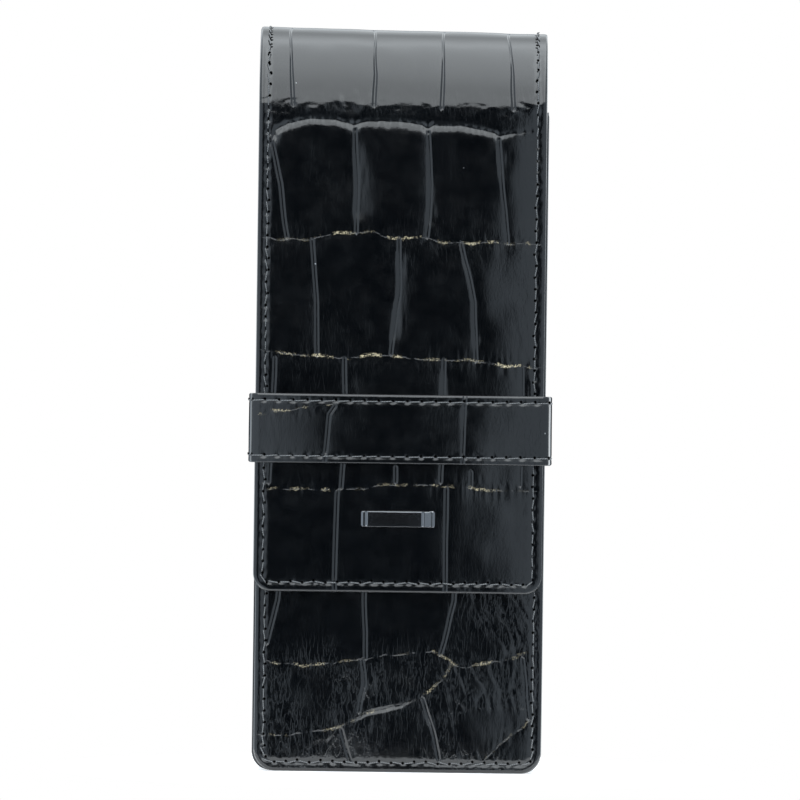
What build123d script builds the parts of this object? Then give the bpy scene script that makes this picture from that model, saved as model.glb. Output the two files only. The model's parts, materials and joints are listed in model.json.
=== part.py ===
"""Fountain pen case: a leather pouch for three pens, a long flap that folds over the mouth, and a keeper
band that slides down the case to let the flap go.

The case stands on its bottom edge. X runs across it, -Y is the front that the flap covers, +Z is up.
The origin is at the middle of the bottom of the whole object. Lengths are in millimetres.
"""
from build123d import *
from math import cos, radians, sin
import os

# Overall sizes
case_width = 61.8
case_height = 160.0
mouth_height = 142.1        # top edge of the front panel
flap_bottom = 38.6          # lowest edge of the closed flap
pocket_depth = 14.0         # front lining to back lining
panel_corner = 4.0          # bottom corners of the front and back panels
flap_corner = 3.2
fold_radius = 5.0           # outer radius where the back turns into the crown

# Thicknesses
hide = 1.1                  # embossed outer leather
lining = 0.6                # lining leather
back_card = 0.8             # stiffening boards
front_card = 0.5
flap_card = 0.4
gusset_leather = 0.8
gusset_cloth = 0.5
divider_leather = 0.8

# Clearances
flap_play = 0.5             # closed flap to front panel
front_play = 1.0            # flap to band, so that the band passes over the plate
back_play = 0.3
side_play = 0.3
fold_gap = 0.3              # between the rigid parts of the leather at each fold

# Seams
seam_inset = 2.0            # stitch row from a panel's edge
thread_width = 0.5
thread_sink = 0.25          # the thread's depth in its groove
thread_proud = 0.1
stitch_end = 1.2            # a row stops this far from an open edge

# Gusset, dividers and boards
gusset_inset = 3.4          # panel edge to the outside of the gusset's wall
divider_top = 134.0
divider_flange = 3.0
card_margin = 5.2           # board edge to panel edge

# Band
band_height = 14.8
band_middle = 73.6
band_hide = 0.9
band_lining_leather = 0.5
band_bend = 1.0             # inside radius of its four corners
band_seam_inset = 1.5
joint_gap = 0.3             # where the band's two ends meet, at the back
joint_seam = 2.0            # upright stitch rows from that joint

# Plate on the flap
plate_width = 15.9
plate_height = 3.5
plate_thickness = 0.7
plate_middle = 54.4
plate_bevel = 0.3
prong_width = 1.6
prong_thickness = 0.5
prong_spacing = 9.0
backer_width = 12.0
backer_height = 3.0
slot_play = 0.1

# Depth of every layer, worked out from the front of the band to its back
band_thickness = band_hide + band_lining_leather
flap_stack = hide + flap_card + lining
front_stack = hide + front_card + lining
back_stack = hide + back_card + lining
total_depth = (2 * band_thickness + front_play + flap_stack + flap_play + front_stack
               + pocket_depth + back_stack + back_play)
flap_y = -total_depth / 2 + band_thickness + front_play     # outer face of the flap
panel_y = flap_y + flap_stack + flap_play                   # outer face of the front panel
pocket_front = panel_y + front_stack
pocket_back = pocket_front + pocket_depth
back_y = pocket_back + back_stack                           # outer face of the back
case_depth = back_y - flap_y

# The crown is one arc from the flap's face to the fold at the back
arc_y = back_y - fold_radius
crown_radius = arc_y - flap_y
crown_z = case_height - crown_radius
fold_z = case_height - fold_radius
hinge_angle = radians(45)
back_fold = (arc_y + fold_radius * cos(hinge_angle), fold_z + fold_radius * sin(hinge_angle))
crown_fold = (arc_y - crown_radius * cos(hinge_angle), crown_z + crown_radius * sin(hinge_angle))

reach = 60.0                # longer than anything it has to cut


def wrap_area(depth):
    """The area inside the leather that wraps from the back over the crown to the flap, seen from the side
    and taken in by depth from its outer surface."""
    fold_arc = CenterArc((arc_y, fold_z), fold_radius - depth, 0, 90)
    crown_arc = CenterArc((arc_y, crown_z), crown_radius - depth, 90, 90)
    back_line = Line((back_y - depth, 0), (back_y - depth, fold_z))
    flap_line = Line((flap_y + depth, crown_z), (flap_y + depth, 0))
    base_line = Line((flap_y + depth, 0), (back_y - depth, 0))
    return make_face([back_line, fold_arc, crown_arc, flap_line, base_line])


def wrap_layer(top, bottom):
    """One layer of the wrap, between two depths below its outer surface."""
    return extrude(Plane.YZ * (wrap_area(top) - wrap_area(bottom)), case_width / 2, both=True)


def side_block(*corners):
    """A block across the whole case whose side view is a polygon of (y, z) corners."""
    return extrude(Plane.YZ * make_face(Polyline(*corners, close=True)), case_width, both=True)


def fold_slot(point, angle):
    """The slot that keeps the rigid parts of the leather apart at a fold."""
    slot = Rectangle(4 * fold_radius, fold_gap)
    return extrude(Plane.YZ * Pos(*point) * Rot(0, 0, angle) * slot, case_width, both=True)


def outline(width, bottom, top, corner):
    """A panel seen from the front, with its two bottom corners rounded."""
    sheet = Pos(0, (bottom + top) / 2) * Rectangle(width, top - bottom)
    return fillet(sheet.vertices().group_by(Axis.Y)[0], corner)


def slab(area, front, back):
    """A front view made solid between two depths."""
    return extrude(Plane.XZ.offset(-back) * area, back - front)


def stitch_row(width, bottom, top, corner):
    """The path of a stitch row that runs down one side, along the bottom and up the other, as a ribbon."""
    outer = seam_inset - thread_width / 2
    inner = seam_inset + thread_width / 2
    outside = outline(width - 2 * outer, bottom + outer, top, corner - outer)
    inside = outline(width - 2 * inner, bottom + inner, top, corner - inner)
    return outside - inside


up_back = (arc_y + reach * cos(hinge_angle), fold_z + reach * sin(hinge_angle))
up_front = (arc_y - reach * cos(hinge_angle), crown_z + reach * sin(hinge_angle))
back_zone = side_block((arc_y, fold_z), up_back, (reach, -1), (arc_y, -1)) - fold_slot(back_fold, 45)
crown_zone = (side_block((arc_y, crown_z), up_front, (arc_y, crown_z + 2 * reach), up_back, (arc_y, fold_z))
              - fold_slot(back_fold, 45) - fold_slot(crown_fold, 135))
flap_zone = side_block((arc_y, crown_z), up_front, (-reach, -1), (arc_y, -1)) - fold_slot(crown_fold, 135)

back_outline = slab(outline(case_width, 0, 2 * case_height, panel_corner), -reach, reach)
flap_outline = slab(outline(case_width, flap_bottom, 2 * case_height, flap_corner), -reach, reach)
thread_layer = wrap_layer(-thread_proud, thread_sink)


def wrap_thread(bottom, corner, zone):
    """The stitch rows of the wrap inside one of its rigid parts."""
    rows = slab(stitch_row(case_width, bottom, 2 * case_height, corner), -reach, reach)
    return thread_layer & rows & zone


# Back panel: outer leather, board, lining
card_width = case_width - 2 * card_margin
card_top = fold_z - card_margin
back_stitching = wrap_thread(0, panel_corner, back_zone)
back_outer = (wrap_layer(0, hide) & back_zone & back_outline) - back_stitching
card_area = outline(card_width, card_margin, card_top, 1.0)
back_board = slab(card_area, back_y - hide - back_card, back_y - hide)
thick_lining = wrap_layer(hide, back_stack) & side_block((0, -1), (reach, -1), (reach, fold_z), (0, fold_z))
thin_lining = wrap_layer(hide, hide + lining) & back_zone
back_lining = ((thick_lining + thin_lining) & back_zone & back_outline) - back_board

# Crown: outer leather and lining, with no board, so that it bends
crown_stitching = wrap_thread(0, panel_corner, crown_zone)
crown_outer = (wrap_layer(0, hide) & crown_zone) - crown_stitching
crown_lining = wrap_layer(hide, hide + lining) & crown_zone


# Flap: outer leather, board and lining, with the plate and the backer that holds its prongs
def prongs(play):
    """The plate's two prongs, or the slots for them."""
    length = hide + flap_card
    prong = Box(prong_width + 2 * play, length, prong_thickness + 2 * play)
    return [Pos(side * prong_spacing / 2, flap_y + length / 2, plate_middle) * prong for side in (-1, 1)]


card_front = flap_y + hide
card_back = card_front + flap_card
plate_box = Box(plate_width, plate_thickness, plate_height)
plate_body = Pos(0, flap_y - plate_thickness / 2, plate_middle) * plate_box
plate_body = chamfer(plate_body.edges().group_by(Axis.Y)[0], plate_bevel)
name_plate = plate_body + prongs(0)
backer_box = Box(backer_width, flap_card, backer_height)
backer_body = Pos(0, (card_front + card_back) / 2, plate_middle) * backer_box
plate_backer = backer_body - prongs(slot_play)

flap_stitching = wrap_thread(flap_bottom, flap_corner, flap_zone)
flap_outer = (wrap_layer(0, hide) & flap_zone & flap_outline) - flap_stitching - prongs(slot_play)
flap_card_area = outline(card_width, flap_bottom + card_margin, crown_z - card_margin, 1.0)
backer_window = Pos(0, plate_middle) * Rectangle(backer_width + slot_play, backer_height + slot_play)
flap_board = slab(flap_card_area - backer_window, card_front, card_back)
flat_part = side_block((-reach, -1), (0, -1), (0, crown_z), (-reach, crown_z))
flat_lining = wrap_layer(hide, flap_stack) & flat_part
bent_lining = wrap_layer(hide, hide + lining) & flap_zone
flap_card_room = slab(flap_card_area, card_front, card_back)
flap_lining = ((flat_lining + bent_lining) & flap_zone & flap_outline) - flap_card_room

# Front panel: outer leather, board, lining
front_area = outline(case_width, 0, mouth_height, panel_corner)
row_front, row_back = panel_y - thread_proud, panel_y + thread_sink
front_row = stitch_row(case_width, 0, mouth_height - stitch_end, panel_corner)
front_stitching = slab(front_row, row_front, row_back)
mouth_row = Pos(0, mouth_height - seam_inset) * Rectangle(case_width - 4 * seam_inset, thread_width)
mouth_stitching = slab(mouth_row, row_front, row_back)
front_outer = slab(front_area, panel_y, panel_y + hide) - front_stitching - mouth_stitching
front_card_area = outline(card_width, card_margin, mouth_height - card_margin, 1.0)
front_board = slab(front_card_area, panel_y + hide, panel_y + hide + front_card)
front_lining = slab(front_area, panel_y + hide, pocket_front) - front_board


# Gusset: one strip round the two sides and the bottom, its edges turned out under the two panels
def inset_area(inset, corner):
    """The front view of the pocket, taken in from the panel's edge."""
    return outline(case_width - 2 * inset, inset, mouth_height, corner)


cloth_inset = gusset_inset + gusset_leather
pocket_inset = cloth_inset + gusset_cloth
wall_corner = panel_corner - 1.2
wall_area = inset_area(gusset_inset, wall_corner)
cloth_area = inset_area(cloth_inset, wall_corner - gusset_leather)
pocket_area = inset_area(pocket_inset, wall_corner - gusset_leather - gusset_cloth)
flange_area = front_area - cloth_area
side_gusset = (slab(wall_area - cloth_area, pocket_front, pocket_back)
               + slab(flange_area, pocket_front, pocket_front + gusset_leather)
               + slab(flange_area, pocket_back - gusset_leather, pocket_back))
gusset_lining = slab(cloth_area - pocket_area, pocket_front, pocket_back)

# Dividers: two folded strips that part the pocket in three
pocket_width = case_width - 2 * pocket_inset
slot_width = (pocket_width - 2 * divider_leather) / 3


def divider(side):
    """One divider, with a flange glued to each lining. side is -1 for the left one and 1 for the right."""
    web_x = side * (slot_width + divider_leather) / 2
    flange_x = side * (slot_width / 2 + divider_leather + divider_flange / 2)
    height = divider_top - pocket_inset
    middle = (divider_top + pocket_inset) / 2
    web = Pos(web_x, (pocket_front + pocket_back) / 2, middle) * Box(divider_leather, pocket_depth, height)
    flange = Box(divider_flange, divider_leather, height)
    front = Pos(flange_x, pocket_front + divider_leather / 2, middle) * flange
    back = Pos(flange_x, pocket_back - divider_leather / 2, middle) * flange
    return web + front + back


# Band: a ring of two leathers round the case, its ends butted at the back
band_inside_width = case_width + 2 * side_play
band_inside_depth = total_depth - 2 * band_thickness


def band_ring(inner, outer, height):
    """A ring round the case between two distances out from the band's inside face."""
    outside, inside = (
        RectangleRounded(band_inside_width + 2 * out, band_inside_depth + 2 * out, band_bend + out)
        for out in (outer, inner))
    return Pos(0, 0, band_middle) * extrude(outside - inside, height / 2, both=True)


row_inside = band_thickness - thread_sink
row_outside = band_thickness + thread_proud
row_height = band_height / 2 - band_seam_inset
thread_ring = band_ring(row_inside, row_outside, thread_width)
band_top_stitching = Pos(0, 0, row_height) * thread_ring
band_bottom_stitching = Pos(0, 0, -row_height) * thread_ring
joint_reach = row_height - thread_width
joint_cut = Pos(0, total_depth / 2, band_middle) * Box(joint_gap, 2 * band_hide, band_height)
joint_row_y = total_depth / 2 + (thread_proud - thread_sink) / 2
joint_row = Box(thread_width, thread_sink + thread_proud, 2 * joint_reach)
joint_places = [Pos(side * joint_seam, joint_row_y, band_middle) for side in (-1, 1)]
joint_stitching = Compound([place * joint_row for place in joint_places])
band_threads = [band_top_stitching, band_bottom_stitching, *joint_stitching.solids()]
band_outer = band_ring(band_lining_leather, band_thickness, band_height) - joint_cut - band_threads
band_lining = band_ring(0, band_lining_leather, band_height)

nodes = {
    "back_outer": back_outer,
    "back_board": back_board,
    "back_lining": back_lining,
    "back_stitching": back_stitching,
    "crown_outer": crown_outer,
    "crown_lining": crown_lining,
    "crown_stitching": crown_stitching,
    "flap_outer": flap_outer,
    "flap_board": flap_board,
    "flap_lining": flap_lining,
    "flap_stitching": flap_stitching,
    "name_plate": name_plate,
    "plate_backer": plate_backer,
    "front_outer": front_outer,
    "front_board": front_board,
    "front_lining": front_lining,
    "front_stitching": front_stitching,
    "mouth_stitching": mouth_stitching,
    "side_gusset": side_gusset,
    "gusset_lining": gusset_lining,
    "divider_left": divider(-1),
    "divider_right": divider(1),
    "band_outer": band_outer,
    "band_lining": band_lining,
    "band_top_stitching": band_top_stitching,
    "band_bottom_stitching": band_bottom_stitching,
    "band_joint_stitching": joint_stitching,
}

os.makedirs("parts", exist_ok=True)
for name, shape in nodes.items():
    export_step(shape, f"parts/{name}.step")

print(f"case {case_width:.1f} x {case_depth:.2f} x {case_height:.1f}, whole depth {total_depth:.2f}")
print(f"flap face y {flap_y:.3f}, panel face y {panel_y:.3f}, back face y {back_y:.3f}")
print(f"pocket y {pocket_front:.3f} to {pocket_back:.3f}")
print(f"slot width {slot_width:.3f}, floor {pocket_inset:.2f}")
print(f"crown radius {crown_radius:.3f} round y {arc_y:.3f}, z {crown_z:.3f}")
print(f"back fold y {back_fold[0]:.4f}, z {back_fold[1]:.4f}")
print(f"crown fold y {crown_fold[0]:.4f}, z {crown_fold[1]:.4f}")
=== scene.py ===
"""Looks of the pen case: embossed hides with real relief, sewn edges, band, blank metal plate, linings,
gusset and dividers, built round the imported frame. Shapes are worked out in millimetres."""
import bmesh
import bpy
import json
import numpy as np
from math import cos, pi, radians, sin
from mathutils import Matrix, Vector


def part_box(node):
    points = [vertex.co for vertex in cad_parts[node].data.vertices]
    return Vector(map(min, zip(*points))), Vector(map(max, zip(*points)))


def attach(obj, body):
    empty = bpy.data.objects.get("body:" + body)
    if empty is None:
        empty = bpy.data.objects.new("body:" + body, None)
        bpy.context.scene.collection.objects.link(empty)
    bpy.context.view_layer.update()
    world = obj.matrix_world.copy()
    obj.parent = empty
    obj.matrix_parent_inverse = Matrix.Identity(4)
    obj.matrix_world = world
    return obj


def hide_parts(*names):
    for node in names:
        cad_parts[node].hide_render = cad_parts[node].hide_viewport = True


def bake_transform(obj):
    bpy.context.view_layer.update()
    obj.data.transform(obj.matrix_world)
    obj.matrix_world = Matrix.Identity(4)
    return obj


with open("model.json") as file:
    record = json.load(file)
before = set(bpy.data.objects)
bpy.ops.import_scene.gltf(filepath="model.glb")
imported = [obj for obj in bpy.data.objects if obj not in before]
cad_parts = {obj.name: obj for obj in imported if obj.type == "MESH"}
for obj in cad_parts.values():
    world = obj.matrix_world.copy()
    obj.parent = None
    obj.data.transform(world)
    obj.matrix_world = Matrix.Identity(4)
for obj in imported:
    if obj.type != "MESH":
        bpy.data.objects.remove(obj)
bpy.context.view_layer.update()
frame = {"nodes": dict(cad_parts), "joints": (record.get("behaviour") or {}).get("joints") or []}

MM = 0.001


def extent(node, axis):
    """Lowest and highest coordinate of a CAD node along one axis, in millimetres."""
    low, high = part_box(node)
    return low[axis] / MM, high[axis] / MM


def joint_place(name):
    """Where a joint's axis crosses the side view, as (y, z) in millimetres."""
    place = next(joint["pos_m"] for joint in frame["joints"] if joint["name"] == name)
    return place[1] / MM, place[2] / MM


# Sizes of the case, read from the frame
CASE_HALF = extent("back_outer", 0)[1]
FLAP_Y = extent("flap_outer", 1)[0]
FLAP_BOTTOM = extent("flap_outer", 2)[0]
PANEL_Y, PANEL_INNER_Y = extent("front_outer", 1)
MOUTH_Z = extent("front_outer", 2)[1]
CREST_Z = extent("crown_outer", 2)[1]
POCKET_FRONT, POCKET_BACK = extent("side_gusset", 1)
HIDE = PANEL_INNER_Y - PANEL_Y
BEND_Y, BEND_Z = joint_place("flap_bend")
FOLD_Z = joint_place("flap_hinge")[1]
DIAGONAL = cos(radians(45))
CROWN_R = (CREST_Z - BEND_Z) / (1 - DIAGONAL)
FOLD_R = (CREST_Z - FOLD_Z) / (1 - DIAGONAL)
ARC_Y = BEND_Y + CROWN_R * DIAGONAL
CROWN_Z = CREST_Z - CROWN_R
FOLD_BASE_Z = CREST_Z - FOLD_R
CROWN_ARC = CROWN_R * pi / 2
FOLD_ARC = FOLD_R * pi / 2

# The hide of back, crown and flap is one sheet. Its height v is z on the flap and goes on over the crown.
CREST_V = CROWN_Z + CROWN_ARC
BACK_V = CREST_V + FOLD_ARC
BACK_BOTTOM_V = BACK_V + FOLD_BASE_Z

# The front panel and the band sit a little to the right of the back
PANEL_ASIDE = 0.5
BAND_ASIDE = 0.25

PANEL_CORNER = 4.0
FLAP_CORNER = 3.2
EDGE_ROUND = 0.7
SEAM_INSET = 2.0
SEAM_PITCH = 2.5
BAND_SEAM_INSET = 1.5
BAND_PITCH = 3.1
RELIEF_STEP = 0.33
PLAIN_STEP = 0.9


# ---- Noise

NOISE_CELLS = 97


def noise(x, y, size, seed):
    """Smooth seeded noise from -1 to 1 over a plane, with features about size across."""
    table = np.random.default_rng(seed).random((NOISE_CELLS, NOISE_CELLS)) * 2 - 1
    gx, gy = x / size, y / size
    ix, iy = np.floor(gx).astype(int), np.floor(gy).astype(int)
    fx, fy = gx - ix, gy - iy
    fx = fx ** 3 * (fx * (6 * fx - 15) + 10)
    fy = fy ** 3 * (fy * (6 * fy - 15) + 10)
    near_x, near_y = ix % NOISE_CELLS, iy % NOISE_CELLS
    far_x, far_y = (ix + 1) % NOISE_CELLS, (iy + 1) % NOISE_CELLS
    a, b = table[near_x, near_y], table[far_x, near_y]
    c, d = table[near_x, far_y], table[far_x, far_y]
    return (a * (1 - fx) + b * fx) * (1 - fy) + (c * (1 - fx) + d * fx) * fy


def ridges(x, y, size, seed):
    """Sharp crests of noise, from 0 to 1."""
    return (1 - np.abs(noise(x, y, size, seed))) ** 3


def ramp(x, low, high):
    t = np.clip((x - low) / (high - low), 0, 1)
    return t * t * (3 - 2 * t)


def bump(distance, width):
    return np.exp(-(distance / width) ** 2)


# ---- Scale pattern of the hide

def line_distance(x, v, lines):
    """Signed distance to the nearest of some polylines, negative to the right of the way each one runs."""
    nearest = np.full(x.shape, 1e6)
    side = np.ones(x.shape)
    for line in lines:
        for (ax, av), (bx, bv) in zip(line, line[1:]):
            dx, dv = bx - ax, bv - av
            t = np.clip(((x - ax) * dx + (v - av) * dv) / (dx * dx + dv * dv), 0, 1)
            gap = np.hypot(x - ax - t * dx, v - av - t * dv)
            closer = gap < nearest
            turn = np.where(dx * (v - av) - dv * (x - ax) < 0, -1.0, 1.0)
            nearest = np.where(closer, gap, nearest)
            side = np.where(closer, turn, side)
    return nearest * side


# Cracks run across the hide from left to right, and grooves run along it, as (x, v) points
FLAP_CRACKS = [
    [(-29, 60.3), (-7.8, 60.5), (-3.4, 61.6), (1, 61.9), (6.8, 61.8), (14.2, 61.2), (29, 60.8)],
    [(-29.5, 89.9), (-22.2, 89.3), (-11.2, 88.7), (-7.2, 89.4), (-1.5, 89.4), (3.8, 88.7), (14.8, 88.7),
    (22.6, 87.6), (29.5, 87.2)], [(-29.5, 114.4), (-19.9, 114), (-13.3, 115.5), (-6.6, 115.7),
    (-2.3, 114.6), (5.3, 114.8), (9.1, 113.9), (20.2, 113.7), (29.5, 113.5)],
]
FLAP_RIM = [
    [(-28.2, 135.4), (-27, 137.6), (-24.5, 138.9), (-19.5, 140), (-14, 139.6), (-11.6, 139.1),
    (-10.4, 138.4)], [(-10.4, 138.4), (-9.2, 139.2), (-5, 139.7), (0, 139.4), (4, 138.9), (5.4, 138.2)],
    [(5.4, 138.2), (6.6, 139), (12, 138.8), (17, 138), (19.6, 137.4), (20.6, 136.7)], [(20.6, 136.7),
    (22.5, 137.2), (26, 137.8), (29.5, 138)],
]
FLAP_GROOVES = [
    [(-13.4, 37), (-13, 60)], [(10.3, 37), (10.3, 61)], [(-27.8, 62), (-26.8, 88.5)], [(-12.2, 61),
    (-11.4, 75), (-11.9, 88.5)], [(9.1, 62.5), (9.5, 88.5)], [(26.2, 62), (26.2, 87)], [(-0.8, 62.4),
    (-0.8, 65.4)], [(15.4, 61.6), (15.4, 64.6)], [(-17.8, 89.4), (-18, 101), (-19.2, 113.8)], [(-1.8, 89.8),
    (-0.5, 102), (-0.5, 114.4)], [(16.3, 88.6), (15.7, 101), (12.9, 113.6)], [(-24.6, 114.6), (-26, 126),
    (-28.4, 136.2)], [(-9.6, 115.8), (-9.8, 127), (-10.4, 138)], [(5.4, 115), (6.1, 126), (5.4, 137.6)],
    [(22.7, 114), (21.6, 126), (20.6, 136.2)],
]
CROWN_GROOVES = [
    [(-23.6, 143), (-24, 150), (-24.4, 163), (-24, 196)], [(-6.4, 143), (-6, 150), (-6.4, 170), (-5, 196)],
    [(8.2, 142.6), (8.4, 150), (8.6, 172), (9.8, 196)], [(23.6, 142.6), (23.4, 150), (22.4, 163),
    (23.6, 196)],
]
PANEL_CRACKS = [
    [(-29.5, 23.6), (-20.6, 22.6), (-14.4, 23.1), (-7.8, 24.1), (-2.6, 25.1), (7.6, 26.2), (9.7, 25),
    (11.4, 23.3), (12.8, 22.6), (17.7, 23.3), (22.9, 24.1), (29.5, 26.6)], [(-30, 7.8), (-23.6, 8),
    (-17.9, 8.5), (-14.4, 9.1), (-10.5, 10.5), (-6.9, 12.5), (-3.4, 13.6), (1, 14.7), (4.5, 16),
    (7.2, 17.7), (9.8, 20.4), (11.4, 23.3)], [(18.7, 2.4), (21.3, 5.4), (24.4, 8.5), (28.6, 11.4)],
]
PANEL_GROOVES = [
    [(-28.1, 27.4), (-26, 36.7), (-25.2, 60)], [(-7.2, 24.4), (-7.2, 30), (-7.5, 36.7), (-7, 60)],
    [(9, 25.6), (11.8, 36.7), (12.6, 60)], [(-8.2, 13), (-7.3, 19), (-7.9, 23.9)], [(9, 2.8), (7.7, 8.6),
    (5.4, 15.8)], [(-10.2, 2.4), (-12.1, 9)], [(28.1, 12), (26.5, 24.6)],
]
BAND_CRACKS = [[(-30, 76.6), (-27.6, 77.2), (-23.4, 77.4), (-18, 78.4), (-14.6, 78.6)]]
BAND_GROOVES = [[(-16.2, 66), (-15.2, 76.6), (-14, 78.4)], [(13.4, 66), (13.9, 81.5)]]


def made_up_scales(first, last, row, seed):
    """Cracks and grooves for a stretch out of sight: rows of scales about row high, from first to last."""
    rng = np.random.default_rng(seed)
    cracks, grooves = [], []
    count = max(1, round((last - first) / row))
    for k in range(count + 1):
        level = first + (last - first) * k / count
        cracks.append([(x, level + rng.uniform(-0.8, 0.8)) for x in np.linspace(-30, 30, 8)])
        start = -22 + 8 * (k % 2) + rng.uniform(-2, 2)
        top = level + (last - first) / count
        for x in np.arange(start, 29, 15.5):
            middle = (x + rng.uniform(-1, 1), (level + top) / 2)
            grooves.append([(x, level + 0.6), middle, (x + rng.uniform(-1.4, 1.4), top - 0.6)])
    return cracks, grooves


BACK_CRACKS, BACK_GROOVES = made_up_scales(196, 318, 25, 5)
UPPER_CRACKS, UPPER_GROOVES = made_up_scales(62, 138, 25, 9)
SIDE_GROOVES = [[(x, 66), (x + lean, 81.5)]
                for x, lean in ((44, 1.5), (62, -1), (78, 1), (-46, -1), (-66, 1.4))]

SHEETS = {
    "wrap": {"cracks": FLAP_CRACKS + BACK_CRACKS, "rims": FLAP_RIM,
             "grooves": FLAP_GROOVES + CROWN_GROOVES + BACK_GROOVES},
    "panel": {"cracks": PANEL_CRACKS + UPPER_CRACKS[1:], "rims": [],
              "grooves": PANEL_GROOVES + UPPER_GROOVES},
    "band": {"cracks": BAND_CRACKS, "rims": [], "grooves": BAND_GROOVES + SIDE_GROOVES},
}
FAR_AWAY = [[(0, -900), (1, -900)]]


def hide_relief(sheet, x, v, seam, wrinkles, bending=0.0, wear=1.0):
    """Height of an embossed hide at sheet points, and what its finish needs to know there. seam is the
    distance to the stitch row, negative outside it; wrinkles is how creased each point is, bending how
    folded, and wear how rubbed its cracks are."""
    lines = SHEETS[sheet]
    wx = x + 0.28 * noise(x, v, 2.6, 11) + 0.1 * noise(x, v, 0.9, 12)
    wv = v + 0.34 * noise(x, v, 2.9, 13) + 0.12 * noise(x, v, 1.0, 14)
    crack = line_distance(wx, wv, lines["cracks"])
    rim = line_distance(x + 0.12 * noise(x, v, 2, 15), v + 0.16 * noise(x, v, 1.8, 16),
                        lines["rims"] or FAR_AWAY)
    groove = line_distance(x + 0.2 * noise(x, v, 7, 17), v, lines["grooves"])
    inside = ramp(seam, 0.6, 1.6)
    depth = np.clip(0.62 + 0.75 * noise(x, v, 8, 18), 0.12, 1) * wear

    height = -0.02 * np.exp(-np.abs(crack) / 0.9) * inside
    ragged = np.abs(rim) + 0.35 * ridges(x * 2.4, v * 0.4, 1.0, 29)
    lip = np.exp(-np.where(rim < 0, ragged / 0.55, np.abs(rim) / 0.4))
    height -= (RIM_DEPTH - 0.25 * ramp(x, 17, 25)) * lip * inside
    height -= 0.03 * np.exp(-np.abs(groove) / 0.9) * inside
    soft = ramp(noise(x * 0.7, v, 17, 34), -0.1, 0.5) * ramp(np.abs(crack), 1.5, 5) * inside
    soft *= ramp(x, -20, -14) * (1 - ramp(v, 132, 137) * ramp(v, 200, 194))
    slope = np.where(groove < 0, np.clip(1 + groove / 4.5, 0, 1) ** 2, np.clip(1 - groove / 0.6, 0, 1))
    height -= (0.13 + 0.03 * noise(x * 2.2, v * 0.25, 1.0, 36)) * slope * soft
    height += 0.10 * noise(x, v, 13, 19) + 0.02 * noise(x, v, 4.3, 20)
    across = x + 0.2 * v + 3.0 * noise(x, v, 14, 21) + 0.5 * noise(x, v, 3, 22)
    streaks = ridges(across, (v - 0.3 * x) * 0.2, 1.5, 23) + 0.4 * ridges(across, v * 0.25, 0.8, 38)
    folds = ridges(x * 0.3 + noise(x, v, 4, 24), v + 0.8 * noise(x, v, 3, 26), 1.2, 25)
    height -= wrinkles * 0.045 * streaks + bending * 0.03 * folds
    height -= 0.022 * ridges(x + 0.3 * noise(x, v, 3, 27), v * 0.2, 0.75, 28) * bump(crack, 2.4) * inside
    height -= 0.05 * bump(seam, 0.5) + 0.03 * bump(seam, 1.1) * ridges(x, v, 0.9, 37)
    press = ramp(np.abs(rim), 0.3, 1.0) * (1 - 0.7 * bump(seam, 0.6))
    marks = {
        "crack": np.stack([crack, np.abs(crack), inside * depth], 1),
        "groove": np.stack([groove, np.abs(groove), press], 1),
        "sheet": np.stack([x, v, wrinkles], 1),
    }
    return height, marks


# ---- Stitch rows

def u_path(bottom, top, corner):
    """Points (x, v) down the left side of the case's outline, along its bottom and up its right side, taken
    in to the stitch row."""
    half, low, radius = CASE_HALF - SEAM_INSET, bottom + SEAM_INSET, max(corner - SEAM_INSET, 0.8)
    right = [(half - radius + radius * sin(a), low + radius - radius * cos(a))
             for a in np.linspace(0, pi / 2, 9)]
    right.append((half, top))
    return [(-x, v) for x, v in reversed(right)] + right


def along_path(points, step):
    """A polyline cut into even steps: its points and its length."""
    points = np.array(points, float)
    lengths = np.hypot(*np.diff(points, axis=0).T)
    reach = np.concatenate([[0], np.cumsum(lengths)])
    places = np.linspace(0, reach[-1], max(2, int(round(reach[-1] / step)) + 1))
    return np.stack([np.interp(places, reach, column) for column in points.T], 1), reach[-1]


def hole_dips(x, v, rows, pitch):
    """How deep each sheet point sits in the needle holes of some stitch rows, in millimetres."""
    total = np.zeros(x.shape)
    for row in rows:
        dips = np.zeros(x.shape)
        for hx, hv in along_path(row, pitch)[0]:
            near = (np.abs(x - hx) < 1) & (np.abs(v - hv) < 1)
            dips[near] = np.maximum(dips[near], bump(np.hypot(x[near] - hx, v[near] - hv), 0.34))
        total += dips
    return HOLE_DEPTH * total


# ---- Places on the case

def wrap_place(x, v, lift):
    """Point and outward normal on the wrap of back, crown and flap, lifted along that normal."""
    s = CREST_V - v
    front = np.clip(s / CROWN_R, 0, pi / 2)
    back = np.clip(-s / FOLD_R, 0, pi / 2)
    ahead = s >= 0
    angle = np.where(ahead, -front, back)
    radius = np.where(ahead, CROWN_R, FOLD_R)
    centre_z = np.where(ahead, CROWN_Z, FOLD_BASE_Z)
    straight = np.where(ahead, np.maximum(s - CROWN_ARC, 0), np.maximum(-s - FOLD_ARC, 0))
    y = ARC_Y + (radius + lift) * np.sin(angle)
    z = centre_z + (radius + lift) * np.cos(angle) - straight
    return np.stack([x, y, z], -1), np.stack([0 * x, np.sin(angle), np.cos(angle)], -1)


def front_place(x, v, lift):
    """The same on the front panel."""
    normal = np.stack([0 * x, -1 + 0 * x, 0 * x], -1)
    return np.stack([x + PANEL_ASIDE, PANEL_Y - lift, v], -1), normal


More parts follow.
